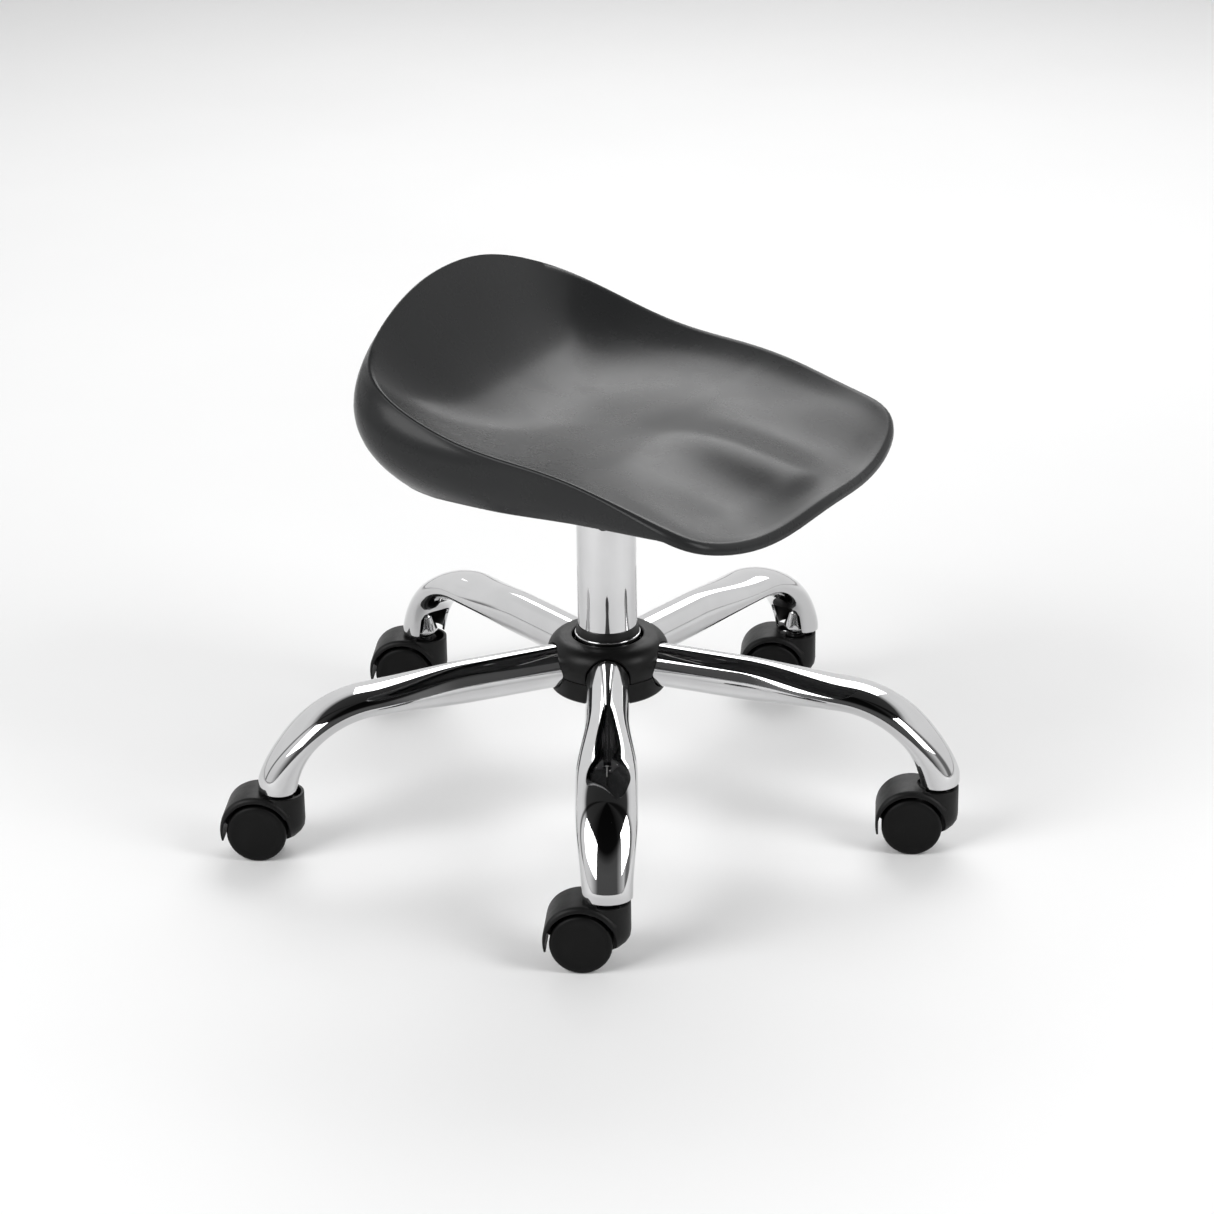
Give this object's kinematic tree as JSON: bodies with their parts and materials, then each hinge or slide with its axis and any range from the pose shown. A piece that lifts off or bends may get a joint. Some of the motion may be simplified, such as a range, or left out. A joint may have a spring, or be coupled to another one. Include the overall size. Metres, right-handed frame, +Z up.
{
  "type": "adjustable swivel stool",
  "caption": "Low swivel stool: scooped one-piece seat with a raised back lip, on a gas lift over a star base of bent tube arms on twin-wheel castors.",
  "frame": {"origin": "middle of the footprint box, on the floor", "axes": "+Z up; -Y along the front arm towards the viewer of the reference picture; +X to the right of that view; the seat faces 30.7 degrees from +X towards -Y"},
  "size_m": [0.6174, 0.5626, 0.458],
  "materials": {
    "shell_moulding": "one-piece moulded seat, smooth semi-gloss charcoal",
    "chrome_tube": "bright chrome on bent and straight steel tube",
    "chrome_fitting": "bright plated turned steel",
    "cover_moulding": "satin black moulding",
    "castor_moulding": "satin black nylon with a fine mould texture",
    "wheel_moulding": "satin black nylon tread and disc",
    "black_nylon": "matte black nylon",
    "plain_steel": "zinc-plated steel",
    "black_steel": "black enamelled steel",
    "bumper_rubber": "black rubber"
  },
  "bodies": {
    "base": {"hub_tube": "chrome_tube", "hub_cover_top": "cover_moulding", "hub_cover_bottom": "cover_moulding", "column_collar": "black_nylon", "column_tube": "chrome_tube", "guide_bush": "black_nylon", "bearing_washer_lower": "plain_steel", "arm_front": "chrome_tube", "arm_right": "chrome_tube", "arm_rear_right": "chrome_tube", "arm_rear_left": "chrome_tube", "arm_left": "chrome_tube", "castor_socket_front": "chrome_fitting", "castor_socket_right": "chrome_fitting", "castor_socket_rear_right": "chrome_fitting", "castor_socket_rear_left": "chrome_fitting", "castor_socket_left": "chrome_fitting", "castor_stem_front": "chrome_fitting", "castor_stem_right": "chrome_fitting", "castor_stem_rear_right": "chrome_fitting", "castor_stem_rear_left": "chrome_fitting", "castor_stem_left": "chrome_fitting"},
    "spindle": {"piston_rod": "chrome_fitting", "retaining_clip": "plain_steel", "thrust_bearing": "plain_steel", "bearing_washer_upper": "plain_steel", "rubber_bumper": "bumper_rubber"},
    "seat": {"gas_cylinder": "black_steel", "cylinder_gland": "black_nylon", "taper_socket": "black_steel", "seat_plate": "black_steel", "lever_pin": "plain_steel", "seat_screw_1": "plain_steel", "seat_screw_2": "plain_steel", "seat_screw_3": "plain_steel", "seat_screw_4": "plain_steel", "seat_shell": "shell_moulding"},
    "lever": {"lever_arm": "plain_steel", "lever_grip": "cover_moulding"},
    "release_pin": {"release_pin": "plain_steel"},
    "castor_front": {"castor_hood_front": "castor_moulding", "castor_axle_front": "plain_steel"},
    "wheel_left_front": {"wheel_left_front": "wheel_moulding"},
    "wheel_right_front": {"wheel_right_front": "wheel_moulding"},
    "castor_right": {"castor_hood_right": "castor_moulding", "castor_axle_right": "plain_steel"},
    "wheel_left_right": {"wheel_left_right": "wheel_moulding"},
    "wheel_right_right": {"wheel_right_right": "wheel_moulding"},
    "castor_rear_right": {"castor_hood_rear_right": "castor_moulding", "castor_axle_rear_right": "plain_steel"},
    "wheel_left_rear_right": {"wheel_left_rear_right": "wheel_moulding"},
    "wheel_right_rear_right": {"wheel_right_rear_right": "wheel_moulding"},
    "castor_rear_left": {"castor_hood_rear_left": "castor_moulding", "castor_axle_rear_left": "plain_steel"},
    "wheel_left_rear_left": {"wheel_left_rear_left": "wheel_moulding"},
    "wheel_right_rear_left": {"wheel_right_rear_left": "wheel_moulding"},
    "castor_left": {"castor_hood_left": "castor_moulding", "castor_axle_left": "plain_steel"},
    "wheel_left_left": {"wheel_left_left": "wheel_moulding"},
    "wheel_right_left": {"wheel_right_left": "wheel_moulding"}
  },
  "joints": [
    {"name": "seat_swivel", "type": "hinge", "parent": "base", "child": "spindle", "pos_m": [0.0173, 0.0258, 0.2], "axis": [0, 0, 1], "continuous": true},
    {"name": "seat_lift", "type": "slide", "parent": "spindle", "child": "seat", "axis": [0, 0, 1], "range_m": [0, 0.065]},
    {"name": "lever_tilt", "type": "hinge", "parent": "seat", "child": "lever", "pos_m": [0.0173, -0.0042, 0.33], "axis": [-1, 0, 0], "range_deg": [0, 3.5], "stiffness_Nm_per_rad": 4, "springref_deg": -5.73},
    {"name": "pin_press", "type": "slide", "parent": "seat", "child": "release_pin", "axis": [0, 0, -1], "range_m": [0, 0.002]},
    {"name": "castor_swivel_front", "type": "hinge", "parent": "base", "child": "castor_front", "pos_m": [0.0173, -0.2602, 0.045], "axis": [0, 0, 1], "continuous": true},
    {"name": "wheel_left_roll_front", "type": "hinge", "parent": "castor_front", "child": "wheel_left_front", "pos_m": [-0.00265, -0.25881, 0.025], "axis": [-0.0698, -0.9976, 0], "continuous": true},
    {"name": "wheel_right_roll_front", "type": "hinge", "parent": "castor_front", "child": "wheel_right_front", "pos_m": [-0.00265, -0.25881, 0.025], "axis": [-0.0698, -0.9976, 0], "continuous": true},
    {"name": "castor_swivel_right", "type": "hinge", "parent": "base", "child": "castor_right", "pos_m": [0.2893, -0.06258, 0.045], "axis": [0, 0, 1], "continuous": true},
    {"name": "wheel_left_roll_right", "type": "hinge", "parent": "castor_right", "child": "wheel_left_right", "pos_m": [0.26935, -0.06118, 0.025], "axis": [-0.0698, -0.9976, 0], "continuous": true},
    {"name": "wheel_right_roll_right", "type": "hinge", "parent": "castor_right", "child": "wheel_right_right", "pos_m": [0.26935, -0.06118, 0.025], "axis": [-0.0698, -0.9976, 0], "continuous": true},
    {"name": "castor_swivel_rear_right", "type": "hinge", "parent": "base", "child": "castor_rear_right", "pos_m": [0.18541, 0.25718, 0.045], "axis": [0, 0, 1], "continuous": true},
    {"name": "wheel_left_roll_rear_right", "type": "hinge", "parent": "castor_rear_right", "child": "wheel_left_rear_right", "pos_m": [0.16545, 0.25857, 0.025], "axis": [-0.0698, -0.9976, 0], "continuous": true},
    {"name": "wheel_right_roll_rear_right", "type": "hinge", "parent": "castor_rear_right", "child": "wheel_right_rear_right", "pos_m": [0.16545, 0.25857, 0.025], "axis": [-0.0698, -0.9976, 0], "continuous": true},
    {"name": "castor_swivel_rear_left", "type": "hinge", "parent": "base", "child": "castor_rear_left", "pos_m": [-0.15081, 0.25718, 0.045], "axis": [0, 0, 1], "continuous": true},
    {"name": "wheel_left_roll_rear_left", "type": "hinge", "parent": "castor_rear_left", "child": "wheel_left_rear_left", "pos_m": [-0.17076, 0.25857, 0.025], "axis": [-0.0698, -0.9976, 0], "continuous": true},
    {"name": "wheel_right_roll_rear_left", "type": "hinge", "parent": "castor_rear_left", "child": "wheel_right_rear_left", "pos_m": [-0.17076, 0.25857, 0.025], "axis": [-0.0698, -0.9976, 0], "continuous": true},
    {"name": "castor_swivel_left", "type": "hinge", "parent": "base", "child": "castor_left", "pos_m": [-0.2547, -0.06258, 0.045], "axis": [0, 0, 1], "continuous": true},
    {"name": "wheel_left_roll_left", "type": "hinge", "parent": "castor_left", "child": "wheel_left_left", "pos_m": [-0.27465, -0.06118, 0.025], "axis": [-0.0698, -0.9976, 0], "continuous": true},
    {"name": "wheel_right_roll_left", "type": "hinge", "parent": "castor_left", "child": "wheel_right_left", "pos_m": [-0.27465, -0.06118, 0.025], "axis": [-0.0698, -0.9976, 0], "continuous": true}
  ],
  "couplings": [
    {"joint": "pin_press", "follows": "lever_tilt", "m_per_rad": 0.03}
  ]
}
